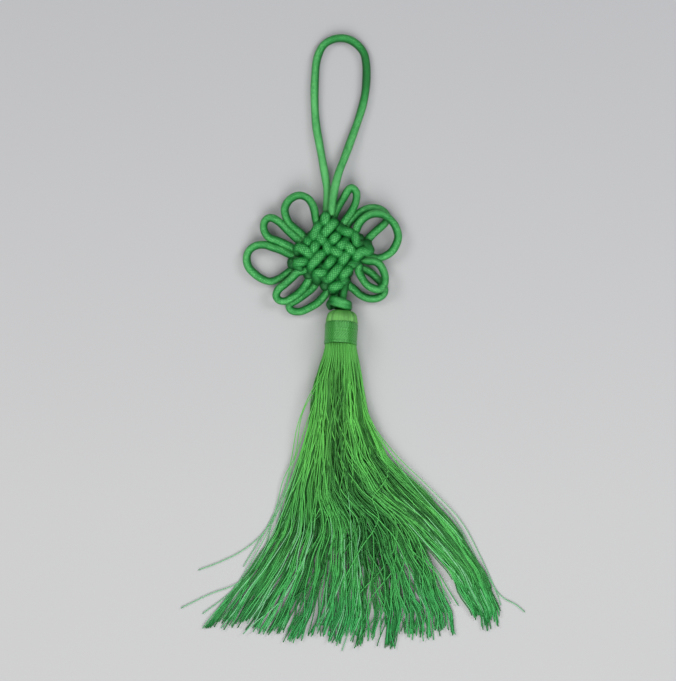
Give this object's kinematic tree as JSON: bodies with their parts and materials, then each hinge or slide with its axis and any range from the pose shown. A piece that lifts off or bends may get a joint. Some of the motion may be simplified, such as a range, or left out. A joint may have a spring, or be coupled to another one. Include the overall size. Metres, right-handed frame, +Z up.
{
  "type": "knotted silk tassel",
  "caption": "Green silk tassel with a bound head and loose skirt, hung from an endless knot of satin cord with ears and a hanging loop, lying flat.",
  "frame": {"origin": "middle of the outline on the surface that the tassel lies on", "axes": "+X to the right, +Y towards the hanging loop, +Z up from the surface"},
  "size_m": [0.1295, 0.2312, 0.0123],
  "materials": {
    "knot_cord": "satin braided cord, cool green",
    "tassel_thread": "loose silk thread, leaf green with a sheen",
    "binding_thread": "silk thread wound close, with a sheen"
  },
  "bodies": {
    "root": {"woven_knot": "knot_cord", "hanging_loop": "knot_cord", "tail_knot": "knot_cord", "thread_tassel": "tassel_thread", "neck_band": "binding_thread"}
  },
  "joints": []
}
